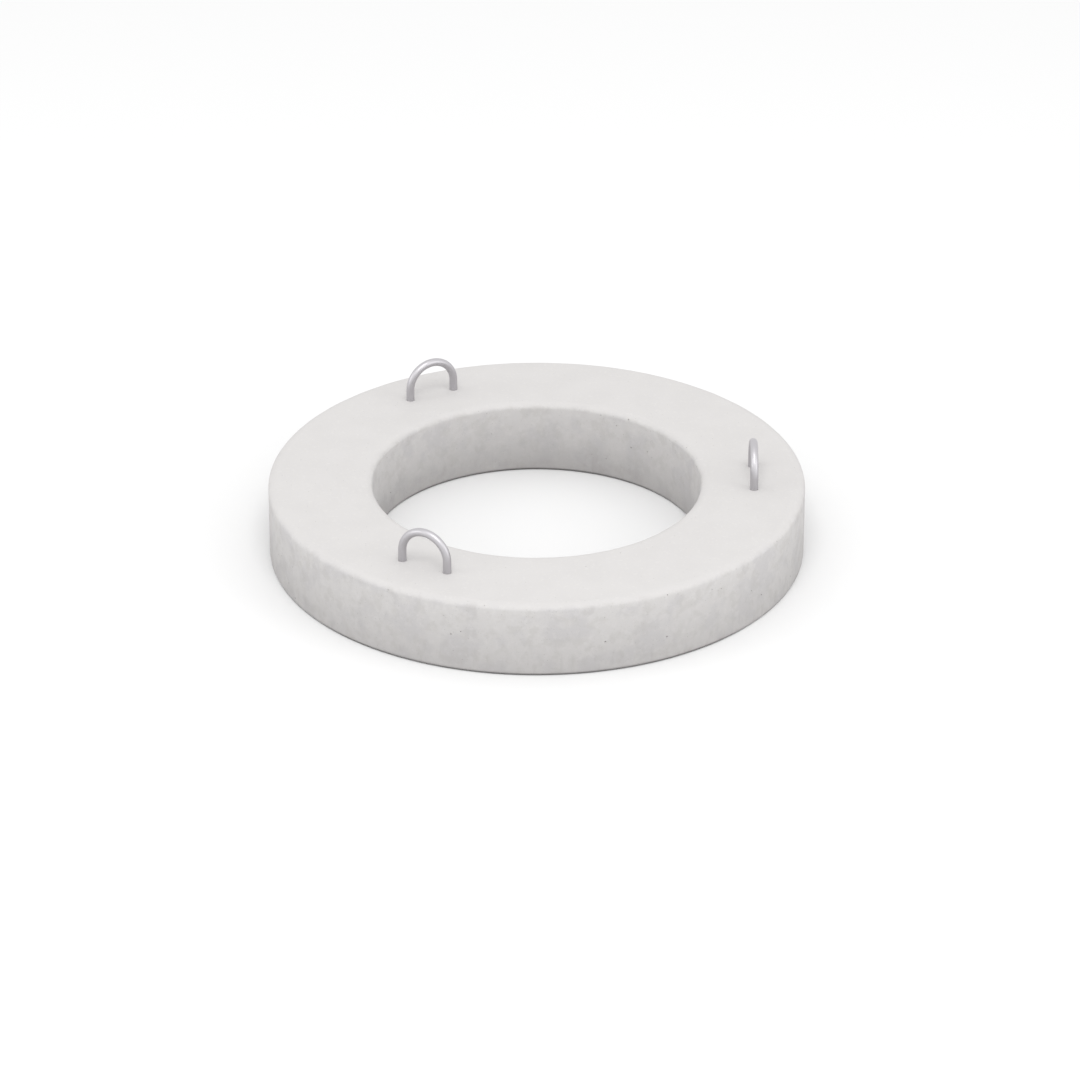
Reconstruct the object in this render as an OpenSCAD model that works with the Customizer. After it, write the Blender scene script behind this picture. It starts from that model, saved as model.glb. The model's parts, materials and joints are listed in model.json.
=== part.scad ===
// Precast concrete ring with a central opening and three cast-in lifting loops.
// Millimetres, +Z up. The origin is the centre of the underside, and the first loop stands on +X.

/* [Ring] */
// Outer diameter of the ring
outer_d = 1060; // [900:10:1500]
// Diameter of the opening through the middle
bore_d = 650; // [500:10:700]
// Height from the underside to the top face
thickness = 150; // [130:5:250]
// Radius where a trowel has eased the top face down towards its two edges
ease_round = 28; // [16:1:40]
// Slope that the eased face reaches, in degrees
ease_slope = 30; // [10:5:45]
// Radius between the eased face and the walls
top_round = 9; // [4:1:14]
// Radius on the two lower edges, as the mould leaves them
foot_round = 5; // [2:1:12]

/* [Lifting loops] */
// Diameter of the plain round bar
bar_d = 16; // [10:1:20]
// Width of a loop, measured between the centres of its legs
loop_span = 100; // [80:5:140]
// Height of a loop above the top face, to the outside of the bar
loop_rise = 80; // [75:1:120]
// Bearing of each loop, anticlockwise from +X
loop_bearings = [0, 120, 240]; // [0:1:359]

/* [Cast-in anchors] */
// Height of the anchor feet above the underside, to the centre of the bar
anchor_height = 42; // [30:1:60]
// Radius of the bend into an anchor foot, at the centre of the bar
anchor_bend = 28; // [24:1:40]
// Straight length of an anchor foot beyond its bend
anchor_foot = 45; // [20:1:80]

/* [Hidden] */
$fn = 96;

bore_r = bore_d / 2;
wall = (outer_d - bore_d) / 2;
loop_circle_r = bore_r + wall / 2; // the loops stand on the middle of the wall
ease_w = top_round + (ease_round - top_round) * sin(ease_slope); // how far in from a wall the easing starts
ease_depth = ease_round - (ease_round - top_round) * cos(ease_slope); // how far down a wall it reaches
crown_r = loop_span / 2; // a loop's crown is a half circle on its two legs
crown_height = thickness + loop_rise - bar_d / 2 - crown_r; // where the legs meet the crown
bend_height = anchor_height + anchor_bend; // where the legs meet their anchor bends
concrete_colour = [0.89, 0.885, 0.88];
steel_colour = [0.72, 0.72, 0.74];

// What a rounding of radius r takes off the square corner at the origin
module arris(r) {
    difference() {
        square(r);
        translate([r, r]) circle(r);
    }
}

// What the trowel takes off the corner at the origin, where the top face lies along X:
// a wide easing that meets a tighter rounding at the slope of the eased face
module eased_arris() {
    meeting = [ease_w - ease_round * sin(ease_slope), ease_round * (1 - cos(ease_slope))];
    difference() {
        square([ease_w, ease_depth]);
        translate([top_round, ease_depth]) circle(top_round);
        intersection() {
            translate([ease_w, ease_round]) circle(ease_round);
            polygon([meeting, [top_round, ease_depth], [ease_w, ease_depth], [ease_w, 0], [meeting.x, 0]]);
        }
    }
}

// The cut through one side of the ring, at its true radius from the axis
module wall_section() {
    translate([bore_r, 0])
        difference() {
            square([wall, thickness]);
            for (side = [0, 1])
                translate([side * wall, 0])
                    mirror([side, 0]) {
                        arris(foot_round);
                        translate([0, thickness]) mirror([0, 1]) eased_arris();
                    }
        }
}

// A length of the bar bent through an angle about the Z axis, in the XY plane
module bent_bar(bend_r, angle) {
    rotate_extrude(angle = angle)
        translate([bend_r, 0])
            circle(d = bar_d);
}

// One side of a loop below its crown, on +Y: the leg, the bend and the anchor foot
module leg() {
    translate([0, crown_r, bend_height])
        cylinder(d = bar_d, h = crown_height - bend_height);
    translate([0, crown_r + anchor_bend, bend_height])
        rotate([0, -90, 0])
            rotate([0, 0, 180])
                bent_bar(anchor_bend, 90);
    translate([0, crown_r + anchor_bend, anchor_height])
        rotate([-90, 0, 0])
            cylinder(d = bar_d, h = anchor_foot);
}

// A whole loop of one bar, standing over the Z axis across the X direction
module loop_bar() {
    translate([0, 0, crown_height])
        rotate([0, 90, 0])
            rotate([0, 0, 90])
                bent_bar(crown_r, 180);
    for (side = [0, 1])
        mirror([0, side, 0]) leg();
}

// A loop in its place on the ring
module placed_loop(bearing) {
    rotate([0, 0, bearing])
        translate([loop_circle_r, 0, 0])
            loop_bar();
}

module lifting_loop(bearing) {
    color(steel_colour) placed_loop(bearing);
}

// The casting, with the channels that the loops fill
module concrete_ring() {
    color(concrete_colour)
        difference() {
            rotate_extrude() wall_section();
            for (bearing = loop_bearings)
                placed_loop(bearing);
        }
}

concrete_ring();
lifting_loop(loop_bearings[0]);  // lifting_loop_right
lifting_loop(loop_bearings[1]);  // lifting_loop_back
lifting_loop(loop_bearings[2]);  // lifting_loop_front
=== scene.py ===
"""Looks of a flat precast concrete ring with three bent steel lifting loops, built round its frame."""

import json
import logging
import math
from dataclasses import dataclass
from enum import Enum
from typing import Any

import bmesh
import bpy
from mathutils import Matrix, Vector


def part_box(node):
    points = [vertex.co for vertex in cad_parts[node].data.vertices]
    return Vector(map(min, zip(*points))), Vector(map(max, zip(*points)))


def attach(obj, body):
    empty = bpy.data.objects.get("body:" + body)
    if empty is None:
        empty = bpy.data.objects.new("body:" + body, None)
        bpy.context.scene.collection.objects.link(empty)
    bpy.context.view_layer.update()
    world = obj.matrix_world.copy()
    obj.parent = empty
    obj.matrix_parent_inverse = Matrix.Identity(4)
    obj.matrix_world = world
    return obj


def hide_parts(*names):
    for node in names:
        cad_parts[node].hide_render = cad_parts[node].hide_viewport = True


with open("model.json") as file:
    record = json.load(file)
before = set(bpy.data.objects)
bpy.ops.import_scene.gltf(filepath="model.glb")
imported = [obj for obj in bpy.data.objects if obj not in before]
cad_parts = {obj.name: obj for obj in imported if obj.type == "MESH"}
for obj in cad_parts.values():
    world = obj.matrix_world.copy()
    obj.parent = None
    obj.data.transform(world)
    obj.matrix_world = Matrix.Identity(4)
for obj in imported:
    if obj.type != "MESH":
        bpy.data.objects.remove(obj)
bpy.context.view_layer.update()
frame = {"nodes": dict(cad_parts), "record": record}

log = logging.getLogger("concrete_ring")
MM = 0.001


class Face(Enum):
    """A part of the casting that a layer of colour can lie on."""

    TROWELLED = "the top, struck off and smoothed by trowel"
    MOULDED = "the walls, cast against the mould"
    FOOT = "the lower part of the walls, fading upwards"
    # Painted shade lies on this part.
    BORE = "the lower part of the wall round the opening, fading upwards"


def linear(colour: str) -> tuple[float, float, float, float]:
    """Turns an sRGB hex colour to linear light.

    Args:
        colour: The colour, as in "#D8D6D2".

    Returns:
        Red, green, blue and an alpha of 1.
    """
    channels = [int(colour[i : i + 2], 16) / 255 for i in (1, 3, 5)]
    red, green, blue = (c / 12.92 if c <= 0.04045 else ((c + 0.055) / 1.055) ** 2.4 for c in channels)
    return red, green, blue, 1.0


def add_node(
    tree: bpy.types.NodeTree,
    kind: str,
    inputs: dict[int | str, Any] | tuple[Any, ...] = (),
    output: int | str = 0,
    **settings: Any,
) -> bpy.types.NodeSocket | None:
    """Adds a node with its settings and links.

    Args:
        tree: The tree that gets the node.
        kind: The node's type name.
        inputs: A value or the socket that feeds it, for each input that isn't left at its default,
            in order or by name or number.
        output: The output that is wanted.
        settings: The node's own properties.

    Returns:
        The wanted output, or nothing for a node that has none.
    """
    node = tree.nodes.new(kind)
    for name, value in settings.items():
        setattr(node, name, value)
    for key, value in inputs.items() if isinstance(inputs, dict) else enumerate(inputs):
        if isinstance(value, bpy.types.NodeSocket):
            tree.links.new(value, node.inputs[key])
        else:
            node.inputs[key].default_value = value
    return node.outputs[output] if node.outputs else None


def new_material(name: str) -> bpy.types.Material:
    """Makes a material with an empty tree.

    Args:
        name: The material's name.

    Returns:
        The material.
    """
    material = bpy.data.materials.new(name)
    material.use_nodes = True
    material.node_tree.nodes.clear()
    return material


def new_geometry_tree(name: str, sizes: dict[str, float]) -> tuple[bpy.types.NodeTree, bpy.types.Node]:
    """Starts a Geometry Nodes tree that takes a geometry, a material and named sizes.

    Args:
        name: The tree's name.
        sizes: The name and the default of each size.

    Returns:
        The tree and its input node.
    """
    tree = bpy.data.node_groups.new(name, "GeometryNodeTree")
    tree.interface.new_socket("Geometry", in_out="OUTPUT", socket_type="NodeSocketGeometry")
    tree.interface.new_socket("Geometry", in_out="INPUT", socket_type="NodeSocketGeometry")
    tree.interface.new_socket("Material", in_out="INPUT", socket_type="NodeSocketMaterial")
    for size, default in sizes.items():
        kind = "NodeSocketInt" if isinstance(default, int) else "NodeSocketFloat"
        tree.interface.new_socket(size, in_out="INPUT", socket_type=kind).default_value = default
    return tree, add_node(tree, "NodeGroupInput").node


def end_geometry_tree(
    tree: bpy.types.NodeTree, geometry: bpy.types.NodeSocket, material: bpy.types.NodeSocket
) -> None:
    """Ends a Geometry Nodes tree.

    Args:
        tree: The tree.
        geometry: What the tree has made.
        material: The material that it gets.
    """
    smooth = add_node(tree, "GeometryNodeSetShadeSmooth", (geometry,))
    realized = add_node(tree, "GeometryNodeRealizeInstances", (smooth,))
    painted = add_node(tree, "GeometryNodeSetMaterial", {"Geometry": realized, "Material": material})
    add_node(tree, "NodeGroupOutput", (painted,))


def grow(
    name: str,
    base: bpy.types.ID,
    tree: bpy.types.NodeTree,
    values: dict[str, Any],
    sharp_angle: float,
) -> bpy.types.Object:
    """Runs a Geometry Nodes tree on a base and keeps the result as a plain mesh.

    Args:
        name: The finished piece's name.
        base: The mesh or curve data that the tree starts from.
        tree: The tree.
        values: A value for each of the tree's inputs that isn't left at its default.
        sharp_angle: The angle between two faces, in degrees, past which their edge is sharp.

    Returns:
        The finished piece, at the origin and with no modifier.
    """
    start = bpy.data.objects.new(name + "_base", base)
    bpy.context.scene.collection.objects.link(start)
    modifier = start.modifiers.new("shape", "NODES")
    modifier.node_group = tree
    for item in tree.interface.items_tree:
        if item.in_out == "INPUT" and item.name in values:
            modifier[item.identifier] = values[item.name]
    depsgraph = bpy.context.evaluated_depsgraph_get()
    mesh = bpy.data.meshes.new_from_object(start.evaluated_get(depsgraph), depsgraph=depsgraph)
    bpy.data.objects.remove(start)
    mesh.name = name
    mesh.set_sharp_from_angle(angle=math.radians(sharp_angle))
    piece = bpy.data.objects.new(name, mesh)
    bpy.context.scene.collection.objects.link(piece)
    return piece


@dataclass(frozen=True)
class Tint:
    """A patchy layer of colour in the concrete's skin.

    The patches are as wide as size, and tall times as high. They begin where the noise passes
    the first of two levels, and reach their full share of the colour at the second.
    """

    colour: str
    size: float
    levels: tuple[float, float]
    share: float
    face: Face
    detail: float = 3.0
    tall: float = 1.0


@dataclass(frozen=True)
class CastConcrete:
    """Pale grey precast concrete, cast against a steel mould and struck off by trowel.

    The trowelled top is a smooth, matt, even skin with faint pale flecks. The moulded walls are
    clouded warm and cool where the water content varied, speckled by sand and by pores with
    shade painted into them, and streaked where paste ran down the mould. Shade is painted on the
    walls, darker towards the foot and more so round the opening, and a painted contact shadow runs
    along the foot's arris in long stretches.
    """

    paste: str = "#BDBBBA"
    # Painted shade, laid on the walls from none at the top to the most at the foot.
    foot_shade: str = "#848180"
    # Painted contact shadow, a near-black band at the foot where the walls meet the floor.
    contact_shadow: str = "#2F2D2C"
    # Painted shade in the pores and in the pits cut into the casting.
    pore: str = "#6E6B68"
    tints: tuple[Tint, ...] = (
        Tint("#B7B5B4", 70 * MM, (0.35, 0.65), 0.30, Face.TROWELLED),
        Tint("#CAC8C6", 7 * MM, (0.55, 0.72), 0.25, Face.TROWELLED, detail=4.0),
        Tint("#A9A7AA", 45 * MM, (0.46, 0.62), 0.32, Face.MOULDED, detail=6.0),
        Tint("#AAA7A4", 24 * MM, (0.48, 0.64), 0.31, Face.MOULDED, detail=6.0),
        Tint("#CBC9C8", 12 * MM, (0.50, 0.68), 0.22, Face.MOULDED, detail=5.0),
        Tint("#989491", 9 * MM, (0.52, 0.72), 0.24, Face.FOOT, tall=3.0),
        # Painted shade on the lower wall round the opening, darker towards its foot.
        Tint("#848180", 60 * MM, (0.20, 0.45), 0.22, Face.BORE),
        Tint("#8C8885", 2.6 * MM, (0.64, 0.72), 0.30, Face.MOULDED, detail=2.0),
        Tint("#D6D4D3", 2.6 * MM, (0.65, 0.73), 0.26, Face.MOULDED, detail=2.0),
        Tint("#A09C99", 2.0 * MM, (0.64, 0.80), 0.20, Face.TROWELLED, detail=2.0),
    )
    # How far up the noise each tint starts from the one before it, so that no two have the same patches.
    tint_step: float = 1.7
    roughness: float = 0.82
    foot_share: float = 0.6
    # How much painted shade lies at the very foot of the walls.
    foot_shade_share: float = 0.42
    # The painted contact shadow's height, and the long stretches that make it stronger in some places
    # than in others.
    contact_shadow_height: float = 7 * MM
    contact_shadow_stretch: float = 800 * MM
    contact_shadow_start: float = 45.25
    contact_shadow_levels: tuple[float, float] = (0.40, 0.55)
    least_contact_shadow: float = 0.3
    skin_depth: float = 9 * MM
    pore_spacing: float = 11 * MM
    pore_radius: float = 1.0 * MM
    pore_chance: float = 0.35
    # How much painted shade lies in a pore or a pit.
    pore_shade_share: float = 0.5
    grit_size: float = 3 * MM
    grit_detail: float = 4.0
    wave_size: float = 12 * MM
    wave_share: float = 1.6
    relief_depth: float = 0.07 * MM
    trowelled_relief: float = 0.35

    def masks(
        self, tree: bpy.types.NodeTree, place: bpy.types.NodeSocket, height: float, middle: float
    ) -> dict[Face, bpy.types.NodeSocket]:
        """Tells the parts of the casting apart by their height and their radius.

        Args:
            tree: The material's tree.
            place: The place in the casting.
            height: The casting's height.
            middle: The radius half way between the two walls.

        Returns:
            For each part, 1 on it and 0 off it.
        """
        spot = add_node(tree, "ShaderNodeSeparateXYZ", (place,)).node.outputs
        ramps = {
            Face.TROWELLED: (height - self.skin_depth, height),
            Face.FOOT: (self.foot_share * height, 0.0),
        }
        masks = {
            face: add_node(
                tree, "ShaderNodeMapRange", (spot["Z"], *ramp), interpolation_type="SMOOTHSTEP"
            )
            for face, ramp in ramps.items()
        }
        masks[Face.MOULDED] = add_node(
            tree, "ShaderNodeMath", (1.0, masks[Face.TROWELLED]), operation="SUBTRACT"
        )
        across = add_node(tree, "ShaderNodeCombineXYZ", (spot["X"], spot["Y"]))
        radius = add_node(
            tree, "ShaderNodeVectorMath", (across,), output="Value", operation="LENGTH"
        )
        inside = add_node(tree, "ShaderNodeMath", (radius, middle), operation="LESS_THAN")
        masks[Face.BORE] = add_node(
            tree, "ShaderNodeMath", (inside, masks[Face.FOOT]), operation="MULTIPLY"
        )
        return masks

    def tint_layers(
        self,
        tree: bpy.types.NodeTree,
        place: bpy.types.NodeSocket,
        masks: dict[Face, bpy.types.NodeSocket],
    ) -> list[tuple[bpy.types.NodeSocket, str]]:
        """Breaks each tint up into patches on its part of the casting.

        Args:
            tree: The material's tree.
            place: The place in the casting.
            masks: Where each part of the casting is.

        Returns:
            Each layer's share and its colour, from the lowest layer up.
        """
        layers = []
        for number, tint in enumerate(self.tints):
            start = (0, 0, self.tint_step * number)
            spot = add_node(
                tree,
                "ShaderNodeMapping",
                {"Vector": place, "Location": start, "Scale": (1, 1, 1 / tint.tall)},
            )
            noise = add_node(
                tree,
                "ShaderNodeTexNoise",
                {"Vector": spot, "Scale": 1 / tint.size, "Detail": tint.detail},
            )
            patches = add_node(
                tree,
                "ShaderNodeMapRange",
                (noise, *tint.levels, 0.0, tint.share),
                interpolation_type="SMOOTHSTEP",
            )
            share = add_node(
                tree, "ShaderNodeMath", (patches, masks[tint.face]), operation="MULTIPLY"
            )
            layers.append((share, tint.colour))
        return layers

    def contact_shadow_stretches(
        self, tree: bpy.types.NodeTree, place: bpy.types.NodeSocket, level: bpy.types.NodeSocket
    ) -> bpy.types.NodeSocket:
        """Paints contact shadow on the very foot in long stretches, and less between them.

        Args:
            tree: The material's tree.
            place: The place in the casting.
            level: The height in the casting.

        Returns:
            How much painted contact shadow each place has, from 0 to 1.
        """
        along_foot = add_node(
            tree, "ShaderNodeMapping", {"Vector": place, "Location": (0, 0, self.contact_shadow_start)}
        )
        stretches = add_node(
            tree,
            "ShaderNodeTexNoise",
            {"Vector": along_foot, "Scale": 1 / self.contact_shadow_stretch, "Detail": 0.0},
        )
        share = add_node(
            tree,
            "ShaderNodeMapRange",
            (stretches, *self.contact_shadow_levels, self.least_contact_shadow, 1.0),
            interpolation_type="SMOOTHSTEP",
        )
        return add_node(tree, "ShaderNodeMapRange", (level, self.contact_shadow_height, 0.0, 0.0, share))

    def pores(self, tree: bpy.types.NodeTree, place: bpy.types.NodeSocket) -> bpy.types.NodeSocket:
        """Scatters pinhead pores.

        Args:
            tree: The material's tree.
            place: The place in the casting.

        Returns:
            1 in a pore and 0 outside.
        """
        cells = add_node(
            tree, "ShaderNodeTexVoronoi", {"Vector": place, "Scale": 1 / self.pore_spacing}
        ).node
        # A pore has its whole depth up to half its radius, and none at its rim.
        rim = self.pore_radius / self.pore_spacing
        inside = add_node(
            tree,
            "ShaderNodeMapRange",
            (cells.outputs["Distance"], rim, rim / 2),
            interpolation_type="SMOOTHSTEP",
        )
        chance = add_node(tree, "ShaderNodeSeparateColor", (cells.outputs["Color"],))
        chosen = add_node(tree, "ShaderNodeMath", (chance, self.pore_chance), operation="LESS_THAN")
        return add_node(tree, "ShaderNodeMath", (inside, chosen), operation="MULTIPLY")

    def layered_colour(
        self,
        tree: bpy.types.NodeTree,
        place: bpy.types.NodeSocket,
        masks: dict[Face, bpy.types.NodeSocket],
        pore: bpy.types.NodeSocket,
        height: float,
    ) -> bpy.types.NodeSocket:
        """Lays the tints, the painted shade towards the foot, the painted contact shadow and the
        painted shade in every hole over the paste.

        Args:
            tree: The material's tree.
            place: The place in the casting.
            masks: Where each part of the casting is.
            pore: Where the pinhead pores are.
            height: The casting's height.

        Returns:
            The colour.
        """
        level = add_node(tree, "ShaderNodeSeparateXYZ", (place,), output="Z")
        # Painted shade on the walls: none at the top, the most at the foot.
        foot_shade = add_node(tree, "ShaderNodeMapRange", (level, height, 0.0, 0.0, self.foot_shade_share))
        # Painted contact shadow along the very foot, in stretches.
        contact_shade = self.contact_shadow_stretches(tree, place, level)
        # The pits are marked hollow, and shade is painted in them and in the pores.
        hollow = add_node(tree, "ShaderNodeAttribute", output="Fac", attribute_name="hollow")
        holes = add_node(tree, "ShaderNodeMath", (pore, hollow), operation="MAXIMUM")
        shaded = add_node(tree, "ShaderNodeMath", (holes, self.pore_shade_share), operation="MULTIPLY")
        layers = self.tint_layers(tree, place, masks)
        layers += [(foot_shade, self.foot_shade), (contact_shade, self.contact_shadow), (shaded, self.pore)]
        colour = linear(self.paste)
        # A mix has two inputs for each kind of value, and those for colours are 6 and 7.
        for share, layer in layers:
            colour = add_node(
                tree,
                "ShaderNodeMix",
                {"Factor": share, 6: colour, 7: linear(layer)},
                output=2,
                data_type="RGBA",
            )
        return colour

    def relief(
        self,
        tree: bpy.types.NodeTree,
        place: bpy.types.NodeSocket,
        masks: dict[Face, bpy.types.NodeSocket],
        pore: bpy.types.NodeSocket,
    ) -> bpy.types.NodeSocket:
        """Raises grit and waves on the skin, less on the trowelled top, and sinks the pores.

        Args:
            tree: The material's tree.
            place: The place in the casting.
            masks: Where each part of the casting is.
            pore: Where the pinhead pores are.

        Returns:
            The bumped normal.
        """
        grit = add_node(
            tree,
            "ShaderNodeTexNoise",
            {"Vector": place, "Scale": 1 / self.grit_size, "Detail": self.grit_detail},
        )
        waves = add_node(tree, "ShaderNodeTexNoise", {"Vector": place, "Scale": 1 / self.wave_size})
        uneven = add_node(
            tree, "ShaderNodeMath", (waves, self.wave_share, grit), operation="MULTIPLY_ADD"
        )
        strength = add_node(
            tree, "ShaderNodeMapRange", (masks[Face.MOULDED], 0.0, 1.0, self.trowelled_relief, 1.0)
        )
        raised = add_node(tree, "ShaderNodeMath", (uneven, strength), operation="MULTIPLY")
        pricked = add_node(tree, "ShaderNodeMath", (raised, pore), operation="SUBTRACT")
        return add_node(
            tree, "ShaderNodeBump", {"Height": pricked, "Distance": self.relief_depth, "Strength": 1.0}
        )

    def build(self, height: float, middle: float) -> bpy.types.Material:
        """Makes the material.

        Args:
            height: The casting's height, where its trowelled face is.
            middle: The radius half way between the casting's two walls.

        Returns:
            The material.
        """
        material = new_material("cast_concrete")
        tree = material.node_tree
        place = add_node(tree, "ShaderNodeTexCoord", output="Object")
        masks = self.masks(tree, place, height, middle)
        pore = self.pores(tree, place)
        shader = add_node(
            tree,
            "ShaderNodeBsdfPrincipled",
            {
                "Base Color": self.layered_colour(tree, place, masks, pore, height),
                "Roughness": self.roughness,
                "Normal": self.relief(tree, place, masks, pore),
            },
        )
        add_node(tree, "ShaderNodeOutputMaterial", {"Surface": shader})
        return material


@dataclass(frozen=True)
class BrightSteelBar:
    """Bright drawn mild steel bar, bent cold.

    The die leaves a satin grey skin with fine lines along the bar, which stretch its highlights.
    """

    colour: str = "#BCBABD"
    roughness: float = 0.47
    roughness_spread: float = 0.06
    line_width: float = 0.6 * MM
    line_length: float = 30 * MM
    line_detail: float = 2.0
    line_depth: float = 0.03 * MM

    def build(self) -> bpy.types.Material:
        """Makes the material, whose lines follow the bar's own attribute.

        Returns:
            The material.
        """
        material = new_material("bright_steel_bar")
        tree = material.node_tree
        along = add_node(tree, "ShaderNodeAttribute", output="Vector", attribute_name="bar_place")
        drawn = add_node(
            tree,
            "ShaderNodeMapping",
            {"Vector": along, "Scale": (1.0, 1.0, self.line_width / self.line_length)},
        )
        lines = add_node(
            tree,
            "ShaderNodeTexNoise",
            {"Vector": drawn, "Scale": 1 / self.line_width, "Detail": self.line_detail},
        )
        smoothest = self.roughness - self.roughness_spread
        roughest = self.roughness + self.roughness_spread
        roughness = add_node(tree, "ShaderNodeMapRange", (lines, 0.0, 1.0, smoothest, roughest))
        normal = add_node(
            tree, "ShaderNodeBump", {"Height": lines, "Distance": self.line_depth, "Strength": 1.0}
        )
        shader = add_node(
            tree,
            "ShaderNodeBsdfPrincipled",
            {
                "Base Color": linear(self.colour),
                "Metallic": 1.0,
                "Roughness": roughness,
                "Normal": normal,
            },
        )
        add_node(tree, "ShaderNodeOutputMaterial", {"Surface": shader})
        return material


@dataclass
class ConcreteRing:
    """The casting: a ring with eased edges, pitted by air, with sockets round the loops' legs."""

    bore_radius: float
    outer_radius: float
    height: float
    leg_places: list[Vector]
    bar_radius: float
    finish: CastConcrete
    node: str = "concrete_ring"
    sharp_angle: float = 32.0
    # The trowel eases the top down to a slope, whose corners lie this far in from a wall and down it.
    ease_inset: float = 11 * MM
    ease_drop: float = 6.35 * MM
    ease_round: float = 27.5 * MM
    top_round: float = 9 * MM
    foot_round: float = 5 * MM
    round_steps: int = 6
    cell: float = 7 * MM
    segments: int = 600
    long_wave: float = 55 * MM
    short_wave: float = 16 * MM
    short_share: float = 0.25
    edge_wander: float = 1.0 * MM
    wall_wander: float = 0.35 * MM
    # The upward parts of the normals between which the surface starts to wander, above its flat foot.
    wander_start: tuple[float, float] = (-0.9, -0.4)
    # Pits for each square metre where they crowd, before those too near each other are dropped.
    pit_density: float = 1300.0
    pit_gap: float = 6 * MM
    pit_radius: float = 1.7 * MM
    pit_skew: float = 3.0
    pit_seed: int = 7
    pit_size_seed: int = 3
    pit_shape_seed: int = 5
    ball_splits: int = 2
    pit_cluster: float = 90 * MM
    cluster_detail: float = 1.0
    cluster_levels: tuple[float, float] = (0.35, 0.65)
    smallest_pit: float = 0.35
    slimmest_pit: tuple[float, float, float] = (0.75, 0.75, 0.7)
    widest_pit: tuple[float, float, float] = (1.25, 1.25, 1.0)
    top_pit_size: float = 0.6
    wall_pit_number: float = 0.45
    top_pit_number: float = 0.1
    # Shares of the height: the foot that has no pits, and where the edge and the top begin and are whole.
    foot_band: float = 0.07
    edge_band: tuple[float, float] = (0.86, 0.94)
    top_band: tuple[float, float] = (0.97, 0.995)
    # A socket narrows from above the top face to its own floor.
    socket_gap_above: float = 0.375 * MM
    socket_gap_below: float = 0.075 * MM
    socket_depth: float = 4 * MM
    socket_sides: int = 28

    def shape_tree(self) -> bpy.types.NodeTree:
        """Makes the tree that sweeps, roughens and pits the ring.

        Returns:
            The tree, which takes the socket cutters as its geometry.
        """
        tree, source = new_geometry_tree(
            "ring_casting",
            {
                "Bore Radius": self.bore_radius,
                "Outer Radius": self.outer_radius,
                "Height": self.height,
                "Ease Inset": self.ease_inset,
                "Ease Drop": self.ease_drop,
                "Ease Round": self.ease_round,
                "Top Round": self.top_round,
                "Foot Round": self.foot_round,
                "Cell": self.cell,
                "Segments": self.segments,
                "Edge Wander": self.edge_wander,
                "Wall Wander": self.wall_wander,
                "Pit Density": self.pit_density,
                "Pit Gap": self.pit_gap,
                "Pit Radius": self.pit_radius,
            },
        )
        size = source.outputs
        bare = self.swept_ring(tree, size)
        worn = self.wandering_surface(tree, size, bare)
        pitted = self.pitted(tree, size, worn)
        end_geometry_tree(tree, pitted, size["Material"])
        return tree

    def section(self, tree: bpy.types.NodeTree, size: bpy.types.NodeOutputs) -> bpy.types.NodeSocket:
        """Draws the ring's section about its own middle.

        Args:
            tree: The tree.
            size: The tree's named sizes.

        Returns:
            The closed curve, with rounded corners.
        """
        wall = add_node(
            tree, "ShaderNodeMath", (size["Outer Radius"], size["Bore Radius"]), operation="SUBTRACT"
        )
        outer = add_node(tree, "ShaderNodeMath", (wall, 0.5), operation="MULTIPLY")
        inner = add_node(tree, "ShaderNodeMath", (wall, -0.5), operation="MULTIPLY")
        # The sweep turns the section over, so its foot is at +Y here.
        foot = add_node(tree, "ShaderNodeMath", (size["Height"], 0.5), operation="MULTIPLY")
        top = add_node(tree, "ShaderNodeMath", (size["Height"], -0.5), operation="MULTIPLY")
        top_of_wall = add_node(tree, "ShaderNodeMath", (top, size["Ease Drop"]), operation="ADD")
        top_inner = add_node(tree, "ShaderNodeMath", (inner, size["Ease Inset"]), operation="ADD")
        top_outer = add_node(
            tree, "ShaderNodeMath", (outer, size["Ease Inset"]), operation="SUBTRACT"
        )
        corners = (
            (outer, foot, size["Foot Round"]),
            (inner, foot, size["Foot Round"]),
            (inner, top_of_wall, size["Top Round"]),
            (top_inner, top, size["Ease Round"]),
            (top_outer, top, size["Ease Round"]),
            (outer, top_of_wall, size["Top Round"]),
        )
        index = add_node(tree, "GeometryNodeInputIndex")
        spots = add_node(tree, "GeometryNodeIndexSwitch", {"Index": index}, data_type="VECTOR").node
        radii = add_node(tree, "GeometryNodeIndexSwitch", {"Index": index}, data_type="FLOAT").node
        for choice in (spots, radii):
            while len(choice.index_switch_items) < len(corners):
                choice.index_switch_items.new()
        for number, (across, down, radius) in enumerate(corners, start=1):
            spot = add_node(tree, "ShaderNodeCombineXYZ", (across, down))
            tree.links.new(spot, spots.inputs[number])
            tree.links.new(radius, radii.inputs[number])
        points = add_node(tree, "GeometryNodeMeshLine", {"Count": len(corners)})
        placed = add_node(
            tree, "GeometryNodeSetPosition", {"Geometry": points, "Position": spots.outputs[0]}
        )
        line = add_node(tree, "GeometryNodeMeshToCurve", (placed,))
        closed = add_node(tree, "GeometryNodeSetSplineCyclic", {"Geometry": line, "Cyclic": True})
        return add_node(
            tree,
            "GeometryNodeFilletCurve",
            {"Curve": closed, "Radius": radii.outputs[0], "Count": self.round_steps},
            mode="POLY",
        )

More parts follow.
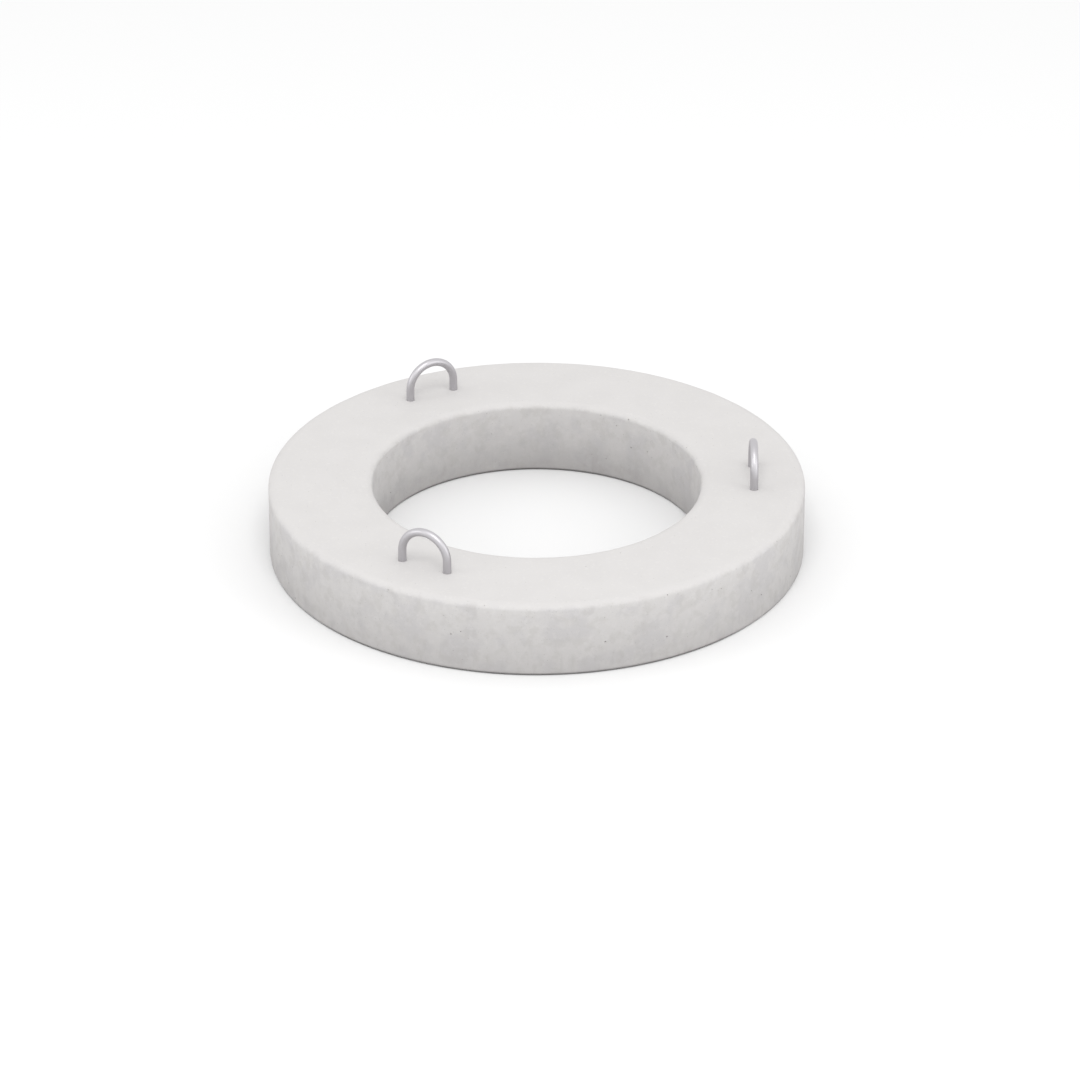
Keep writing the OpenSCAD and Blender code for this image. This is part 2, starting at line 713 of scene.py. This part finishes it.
    def swept_ring(self, tree: bpy.types.NodeTree, size: bpy.types.NodeOutputs) -> bpy.types.NodeSocket:
        """Cuts the section's straight runs into cells and sweeps it round the ring's axis.

        Args:
            tree: The tree.
            size: The tree's named sizes.

        Returns:
            The closed ring, standing on the floor.
        """
        section = self.section(tree, size)
        index = add_node(tree, "GeometryNodeInputIndex")
        position = add_node(tree, "GeometryNodeInputPosition")
        count = add_node(
            tree, "GeometryNodeAttributeDomainSize", {"Geometry": section}, component="CURVE"
        ).node.outputs["Point Count"]
        following = add_node(tree, "ShaderNodeMath", (index, 1.0), operation="ADD")
        following = add_node(tree, "ShaderNodeMath", (following, count), operation="MODULO")
        next_position = add_node(
            tree,
            "GeometryNodeFieldAtIndex",
            {"Index": following, "Value": position},
            data_type="FLOAT_VECTOR",
            domain="POINT",
        )
        run = add_node(
            tree,
            "ShaderNodeVectorMath",
            (position, next_position),
            output="Value",
            operation="DISTANCE",
        )
        cells = add_node(tree, "ShaderNodeMath", (run, size["Cell"]), operation="DIVIDE")
        cuts = add_node(tree, "ShaderNodeMath", (cells,), operation="FLOOR")
        divided = add_node(tree, "GeometryNodeSubdivideCurve", {"Curve": section, "Cuts": cuts})
        both_radii = add_node(
            tree, "ShaderNodeMath", (size["Outer Radius"], size["Bore Radius"]), operation="ADD"
        )
        middle = add_node(tree, "ShaderNodeMath", (both_radii, 0.5), operation="MULTIPLY")
        circle = add_node(
            tree,
            "GeometryNodeCurvePrimitiveCircle",
            {"Resolution": size["Segments"], "Radius": middle},
            mode="RADIUS",
        )
        level = add_node(tree, "GeometryNodeSetCurveNormal", {"Curve": circle}, mode="Z_UP")
        ring = add_node(tree, "GeometryNodeCurveToMesh", {"Curve": level, "Profile Curve": divided})
        half_height = add_node(tree, "ShaderNodeMath", (size["Height"], 0.5), operation="MULTIPLY")
        lift = add_node(tree, "ShaderNodeCombineXYZ", {"Z": half_height})
        return add_node(tree, "GeometryNodeTransform", {"Geometry": ring, "Translation": lift})

    def wandering_surface(
        self, tree: bpy.types.NodeTree, size: bpy.types.NodeOutputs, ring: bpy.types.NodeSocket
    ) -> bpy.types.NodeSocket:
        """Lets the struck edges and the walls wander, as a trowel and a mould leave them.

        Args:
            tree: The tree.
            size: The tree's named sizes.
            ring: The ring.

        Returns:
            The ring, a little uneven everywhere but on its underside.
        """
        normal = add_node(tree, "GeometryNodeInputNormal")
        slope = add_node(tree, "ShaderNodeSeparateXYZ", (normal,), output="Z")
        square = add_node(tree, "ShaderNodeMath", (slope, slope), operation="MULTIPLY")
        rest = add_node(tree, "ShaderNodeMath", (1.0, square), operation="SUBTRACT")
        # The square of the sine of twice the slope: 1 half way round an edge, and 0 on the flats.
        product = add_node(tree, "ShaderNodeMath", (square, rest), operation="MULTIPLY")
        on_edge = add_node(tree, "ShaderNodeMath", (product, 4.0), operation="MULTIPLY")
        long_noise = add_node(tree, "ShaderNodeTexNoise", {"Scale": 1 / self.long_wave})
        short_noise = add_node(tree, "ShaderNodeTexNoise", {"Scale": 1 / self.short_wave})
        wave = add_node(
            tree,
            "ShaderNodeMath",
            (short_noise, self.short_share, long_noise),
            operation="MULTIPLY_ADD",
        )
        # Each noise lies about a half, so this lies about nothing.
        mean = (1 + self.short_share) / 2
        wave = add_node(tree, "ShaderNodeMath", (wave, mean), operation="SUBTRACT")
        reach = add_node(
            tree,
            "ShaderNodeMath",
            (on_edge, size["Edge Wander"], size["Wall Wander"]),
            operation="MULTIPLY_ADD",
        )
        above_floor = add_node(tree, "ShaderNodeMapRange", (slope, *self.wander_start))
        shift = add_node(tree, "ShaderNodeMath", (wave, reach), operation="MULTIPLY")
        shift = add_node(tree, "ShaderNodeMath", (shift, above_floor), operation="MULTIPLY")
        offset = add_node(tree, "ShaderNodeVectorMath", {0: normal, "Scale": shift}, operation="SCALE")
        return add_node(tree, "GeometryNodeSetPosition", {"Geometry": ring, "Offset": offset})

    def pit_spots(
        self,
        tree: bpy.types.NodeTree,
        size: bpy.types.NodeOutputs,
        ring: bpy.types.NodeSocket,
        height_share: bpy.types.NodeSocket,
        on_top: bpy.types.NodeSocket,
    ) -> bpy.types.Node:
        """Scatters the air pits' places over the ring.

        Args:
            tree: The tree.
            size: The tree's named sizes.
            ring: The ring.
            height_share: The height of a place, as a share of the ring's own.
            on_top: 1 on the top face and 0 on the walls.

        Returns:
            The node that gives the pits' points and turns.
        """
        above_foot = add_node(
            tree, "ShaderNodeMath", (height_share, self.foot_band), operation="GREATER_THAN"
        )
        # Pits crowd at the upper edges, where the trowel drags the paste away from them.
        crowded = add_node(
            tree, "ShaderNodeMapRange", (height_share, *self.edge_band, self.wall_pit_number, 1.0)
        )
        thinned = add_node(tree, "ShaderNodeMapRange", (on_top, 0.0, 1.0, 1.0, self.top_pit_number))
        thinning = add_node(tree, "ShaderNodeMath", (crowded, thinned), operation="MULTIPLY")
        cluster = add_node(
            tree,
            "ShaderNodeTexNoise",
            {"Scale": 1 / self.pit_cluster, "Detail": self.cluster_detail},
        )
        crowding = add_node(tree, "ShaderNodeMapRange", (cluster, *self.cluster_levels))
        density = add_node(tree, "ShaderNodeMath", (thinning, crowding), operation="MULTIPLY")
        return add_node(
            tree,
            "GeometryNodeDistributePointsOnFaces",
            {
                "Mesh": ring,
                "Selection": above_foot,
                "Distance Min": size["Pit Gap"],
                "Density Max": size["Pit Density"],
                "Density Factor": density,
                "Seed": self.pit_seed,
            },
            distribute_method="POISSON",
        ).node

    def pit_scale(
        self, tree: bpy.types.NodeTree, size: bpy.types.NodeOutputs, on_top: bpy.types.NodeSocket
    ) -> bpy.types.NodeSocket:
        """Sizes each pit by chance. Most are small, and those on the top smaller still.

        Args:
            tree: The tree.
            size: The tree's named sizes.
            on_top: 1 on the top face and 0 on the walls.

        Returns:
            Half of each pit's width, length and depth.
        """
        chance = add_node(
            tree, "FunctionNodeRandomValue", {"Seed": self.pit_size_seed}, output=1, data_type="FLOAT"
        )
        skewed = add_node(tree, "ShaderNodeMath", (chance, self.pit_skew), operation="POWER")
        share = add_node(tree, "ShaderNodeMapRange", (skewed, 0.0, 1.0, self.smallest_pit, 1.0))
        top_share = add_node(tree, "ShaderNodeMapRange", (on_top, 0.0, 1.0, 1.0, self.top_pit_size))
        share = add_node(tree, "ShaderNodeMath", (share, top_share), operation="MULTIPLY")
        radius = add_node(tree, "ShaderNodeMath", (share, size["Pit Radius"]), operation="MULTIPLY")
        stretch = add_node(
            tree,
            "FunctionNodeRandomValue",
            {0: self.slimmest_pit, 1: self.widest_pit, "Seed": self.pit_shape_seed},
            data_type="FLOAT_VECTOR",
        )
        return add_node(
            tree, "ShaderNodeVectorMath", {0: stretch, "Scale": radius}, operation="SCALE"
        )

    def pitted(
        self, tree: bpy.types.NodeTree, size: bpy.types.NodeOutputs, ring: bpy.types.NodeSocket
    ) -> bpy.types.NodeSocket:
        """Cuts air pits into the ring, and the sockets round the loops' legs.

        Args:
            tree: The tree.
            size: The tree's named sizes.
            ring: The ring.

        Returns:
            The ring with its pits and its sockets.
        """
        position = add_node(tree, "GeometryNodeInputPosition")
        level = add_node(tree, "ShaderNodeSeparateXYZ", (position,), output="Z")
        height_share = add_node(tree, "ShaderNodeMath", (level, size["Height"]), operation="DIVIDE")
        on_top = add_node(tree, "ShaderNodeMapRange", (height_share, *self.top_band))
        spots = self.pit_spots(tree, size, ring, height_share, on_top)
        ball = add_node(
            tree, "GeometryNodeMeshIcoSphere", {"Radius": 1.0, "Subdivisions": self.ball_splits}
        )
        # The cutters' faces are marked hollow, so the material paints shade into the pits they leave.
        marked = add_node(
            tree,
            "GeometryNodeStoreNamedAttribute",
            {"Geometry": ball, "Name": "hollow", "Value": 1.0},
            data_type="FLOAT",
            domain="FACE",
        )
        balls = add_node(
            tree,
            "GeometryNodeInstanceOnPoints",
            {
                "Points": spots.outputs["Points"],
                "Instance": marked,
                "Rotation": spots.outputs["Rotation"],
                "Scale": self.pit_scale(tree, size, on_top),
            },
        )
        cutters = add_node(tree, "GeometryNodeRealizeInstances", (balls,))
        cut = add_node(
            tree,
            "GeometryNodeMeshBoolean",
            {"Mesh 1": ring, "Mesh 2": cutters},
            operation="DIFFERENCE",
            solver="MANIFOLD",
        )
        tree.links.new(size["Geometry"], cut.node.inputs["Mesh 2"])
        return cut

    def socket_cutters(self) -> bpy.types.Mesh:
        """Makes the small cones that open a socket round each leg of a loop.

        Returns:
            The cones, half above the top face.
        """
        cones = bmesh.new()
        for place in self.leg_places:
            bmesh.ops.create_cone(
                cones,
                cap_ends=True,
                segments=self.socket_sides,
                radius1=self.bar_radius + self.socket_gap_below,
                radius2=self.bar_radius + self.socket_gap_above,
                depth=2 * self.socket_depth,
                matrix=Matrix.Translation((place.x, place.y, self.height)),
            )
        mesh = bpy.data.meshes.new("socket_cutters")
        cones.to_mesh(mesh)
        cones.free()
        return mesh

    def build(self) -> bpy.types.Object:
        """Builds the casting and gives it its finish and its place in the frame.

        Returns:
            The casting.
        """
        material = self.finish.build(self.height, (self.bore_radius + self.outer_radius) / 2)
        values = {"Material": material}
        piece = grow(
            "precast_ring", self.socket_cutters(), self.shape_tree(), values, self.sharp_angle
        )
        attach(piece, "root")
        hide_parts(self.node)
        return piece


@dataclass
class LiftingLoop:
    """A round bar bent to a loop over two legs, with its feet turned out inside the concrete."""

    node: str
    tree: bpy.types.NodeTree
    material: bpy.types.Material
    bar_radius: float
    circle_radius: float
    bearing: float
    top: float
    foot_level: float
    half_length: float
    crown_radius: float = 50 * MM
    anchor_bend: float = 28 * MM
    sharp_angle: float = 40.0

    def leg_places(self) -> list[Vector]:
        """Finds where the two legs stand.

        Returns:
            The middle of each leg, at floor level.
        """
        turn = Matrix.Rotation(self.bearing, 4, "Z")
        sides = (-self.crown_radius, self.crown_radius)
        return [turn @ Vector((self.circle_radius, side, 0)) for side in sides]

    def bar_line(self) -> bpy.types.Curve:
        """Makes the corner points that the bar's centreline is bent round.

        Returns:
            An open line from one foot over the crown to the other.
        """
        apex = self.top - self.bar_radius
        foot = self.foot_level + self.bar_radius
        one_side = [(self.half_length, foot), (self.crown_radius, foot), (self.crown_radius, apex)]
        corners = one_side + [(-across, level) for across, level in reversed(one_side)]
        turn = Matrix.Rotation(self.bearing, 4, "Z")
        line = bpy.data.curves.new(self.node + "_line", "CURVE")
        line.dimensions = "3D"
        spline = line.splines.new("POLY")
        spline.points.add(len(corners) - 1)
        for point, (across, level) in zip(spline.points, corners):
            point.co = (*(turn @ Vector((self.circle_radius, across, level))), 1.0)
        return line

    def build(self) -> bpy.types.Object:
        """Builds the loop and gives it its place in the frame.

        Returns:
            The loop.
        """
        values = {
            "Material": self.material,
            "Bar Radius": self.bar_radius,
            "Crown Radius": self.crown_radius,
            "Anchor Bend": self.anchor_bend,
        }
        name = self.node.replace("lifting_loop", "steel_loop")
        piece = grow(name, self.bar_line(), self.tree, values, self.sharp_angle)
        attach(piece, "root")
        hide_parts(self.node)
        return piece


@dataclass(frozen=True)
class BentBar:
    """The way a straight line's corners are bent and a round bar is swept along it."""

    sides: int = 32
    bend_steps: int = 28

    def build(self) -> bpy.types.NodeTree:
        """Makes the tree that bends a line's corners and sweeps a round bar along it.

        Returns:
            The tree, which takes the line as its geometry.
        """
        tree, source = new_geometry_tree(
            "bent_bar",
            {
                "Bar Radius": 8 * MM,
                "Crown Radius": LiftingLoop.crown_radius,
                "Anchor Bend": LiftingLoop.anchor_bend,
                "Sides": self.sides,
                "Bend Steps": self.bend_steps,
            },
        )
        size = source.outputs
        index = add_node(tree, "GeometryNodeInputIndex")
        # Corners 2 and 3 of the six are the crown's.
        from_middle = add_node(tree, "ShaderNodeMath", (index, 2.5), operation="SUBTRACT")
        distance = add_node(tree, "ShaderNodeMath", (from_middle,), operation="ABSOLUTE")
        at_crown = add_node(tree, "ShaderNodeMath", (distance, 1.0), operation="LESS_THAN")
        radius = add_node(
            tree,
            "GeometryNodeSwitch",
            {"Switch": at_crown, "False": size["Anchor Bend"], "True": size["Crown Radius"]},
            input_type="FLOAT",
        )
        bent = add_node(
            tree,
            "GeometryNodeFilletCurve",
            {
                "Curve": size["Geometry"],
                "Radius": radius,
                "Count": size["Bend Steps"],
                "Limit Radius": True,
            },
            mode="POLY",
        )
        along = add_node(tree, "GeometryNodeCaptureAttribute", (bent,)).node
        along.capture_items.new("FLOAT", "Along")
        length = add_node(tree, "GeometryNodeSplineParameter", output="Length")
        tree.links.new(length, along.inputs["Along"])
        section = add_node(
            tree,
            "GeometryNodeCurvePrimitiveCircle",
            {"Resolution": size["Sides"], "Radius": size["Bar Radius"]},
            mode="RADIUS",
        )
        around = add_node(tree, "GeometryNodeCaptureAttribute", (section,)).node
        around.capture_items.new("VECTOR", "Around")
        tree.links.new(add_node(tree, "GeometryNodeInputPosition"), around.inputs["Around"])
        bar = add_node(
            tree,
            "GeometryNodeCurveToMesh",
            {"Curve": along.outputs[0], "Profile Curve": around.outputs[0], "Fill Caps": True},
        )
        spot = add_node(tree, "ShaderNodeSeparateXYZ", (around.outputs["Around"],)).node.outputs
        place = add_node(
            tree, "ShaderNodeCombineXYZ", (spot["X"], spot["Y"], along.outputs["Along"])
        )
        stored = add_node(
            tree,
            "GeometryNodeStoreNamedAttribute",
            {"Geometry": bar, "Name": "bar_place", "Value": place},
            data_type="FLOAT_VECTOR",
            domain="POINT",
        )
        end_geometry_tree(tree, stored, size["Material"])
        return tree


@dataclass(frozen=True)
class SoftBox:
    """A square lamp behind white cloth, aimed at the ring."""

    name: str
    bearing: float
    elevation: float
    distance: float
    side: float
    watts: float

    def build(self) -> None:
        """Hangs the lamp at its bearing and elevation, in degrees, and points it at the ring."""
        lamp = bpy.data.lights.new(self.name, "AREA")
        lamp.shape = "SQUARE"
        lamp.size = self.side
        lamp.energy = self.watts
        bearing, elevation = math.radians(self.bearing), math.radians(self.elevation)
        away = Vector(
            (
                math.cos(bearing) * math.cos(elevation),
                math.sin(bearing) * math.cos(elevation),
                math.sin(elevation),
            )
        )
        holder = bpy.data.objects.new(self.name, lamp)
        holder.location = away * self.distance
        holder.rotation_mode = "QUATERNION"
        holder.rotation_quaternion = away.to_track_quat("Z", "Y")
        bpy.context.scene.collection.objects.link(holder)


@dataclass(frozen=True)
class Studio:
    """A white floor and white air, soft boxes round the ring, and a long lens from the front."""

    floor_colour: str = "#DCDCDC"
    floor_side: float = 60.0
    air_strength: float = 1.14
    camera_distance: float = 9.757
    camera_elevation: float = 28.04
    camera_aim: tuple[float, float, float] = (0.0065, 0.0, 0.0098)
    lens: float = 163.4
    sensor_width: float = 36.0
    camera_reach: float = 200.0
    boxes: tuple[SoftBox, ...] = (
        SoftBox("key_box", bearing=270, elevation=62, distance=8.0, side=4.0, watts=204),
        SoftBox("front_box", bearing=270, elevation=40, distance=8.0, side=4.0, watts=20),
        SoftBox("right_box", bearing=332, elevation=22, distance=8.0, side=4.5, watts=106),
        SoftBox("left_box", bearing=195, elevation=22, distance=8.0, side=3.0, watts=78),
    )

    def build_floor(self) -> None:
        """Lays the floor, a matt white sheet larger than the view."""
        half = self.floor_side / 2
        corners = [(-half, -half, 0), (half, -half, 0), (half, half, 0), (-half, half, 0)]
        mesh = bpy.data.meshes.new("studio_floor")
        mesh.from_pydata(corners, [], [(0, 1, 2, 3)])
        material = bpy.data.materials.new("matt_white_paper")
        material.use_nodes = True
        shader = material.node_tree.nodes["Principled BSDF"]
        shader.inputs["Base Color"].default_value = linear(self.floor_colour)
        shader.inputs["Roughness"].default_value = 1.0
        shader.inputs["Specular IOR Level"].default_value = 0.0
        mesh.materials.append(material)
        floor = bpy.data.objects.new("studio_floor", mesh)
        bpy.context.scene.collection.objects.link(floor)

    def build_air(self) -> None:
        """Fills the studio with even white light."""
        world = bpy.data.worlds.new("white_air")
        world.use_nodes = True
        background = world.node_tree.nodes["Background"]
        background.inputs["Color"].default_value = (1.0, 1.0, 1.0, 1.0)
        background.inputs["Strength"].default_value = self.air_strength
        bpy.context.scene.world = world

    def build_camera(self) -> None:
        """Sets the camera on its tripod, a little above the ring and square to its front."""
        elevation = math.radians(self.camera_elevation)
        camera = bpy.data.cameras.new("camera")
        camera.sensor_width = self.sensor_width
        camera.lens = self.lens
        camera.clip_end = self.camera_reach
        tripod = bpy.data.objects.new("camera", camera)
        tripod.location = (
            0.0,
            -self.camera_distance * math.cos(elevation),
            self.camera_distance * math.sin(elevation),
        )
        tripod.rotation_mode = "QUATERNION"
        sight = Vector(self.camera_aim) - tripod.location
        tripod.rotation_quaternion = sight.to_track_quat("-Z", "Y")
        bpy.context.scene.collection.objects.link(tripod)
        bpy.context.scene.camera = tripod

    def build(self) -> None:
        """Builds the floor, the light and the camera, and shows colours as they are."""
        bpy.context.scene.view_settings.view_transform = "Standard"
        self.build_floor()
        self.build_air()
        for box in self.boxes:
            box.build()
        self.build_camera()


def cast_in_loops() -> list[LiftingLoop]:
    """Finds the lifting loops in the frame.

    Returns:
        The loops, in the order of their names.
    """
    tree = BentBar().build()
    steel = BrightSteelBar().build()
    # This loop stands on +X, so its box gives the bar's sizes.
    straight_low, straight_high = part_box("lifting_loop_right")
    loops = []
    for name in sorted(name for name in frame["nodes"] if name.startswith("lifting_loop")):
        low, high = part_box(name)
        centre = (low + high) / 2
        loops.append(
            LiftingLoop(
                node=name,
                tree=tree,
                material=steel,
                bar_radius=(straight_high.x - straight_low.x) / 2,
                circle_radius=(straight_high.x + straight_low.x) / 2,
                bearing=math.atan2(centre.y, centre.x),
                top=high.z,
                foot_level=low.z,
                half_length=straight_high.y,
            )
        )
    return loops


def main() -> None:
    """Builds the studio, the casting and its loops, in that order."""
    logging.basicConfig(level=logging.INFO, format="%(message)s")
    Studio().build()
    _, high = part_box("concrete_ring")
    opening = next(m for m in frame["record"]["mounts"] if m["name"] == "opening")
    loops = cast_in_loops()
    ring = ConcreteRing(
        bore_radius=opening["dims"]["r_mm"] * MM,
        outer_radius=high.x,
        height=high.z,
        leg_places=[place for loop in loops for place in loop.leg_places()],
        bar_radius=loops[0].bar_radius,
        finish=CastConcrete(),
    )
    pieces = [ring.build()] + [loop.build() for loop in loops]
    for piece in pieces:
        piece.data.calc_loop_triangles()
        log.info("%s: %d triangles", piece.name, len(piece.data.loop_triangles))


if __name__ == "__main__":
    main()
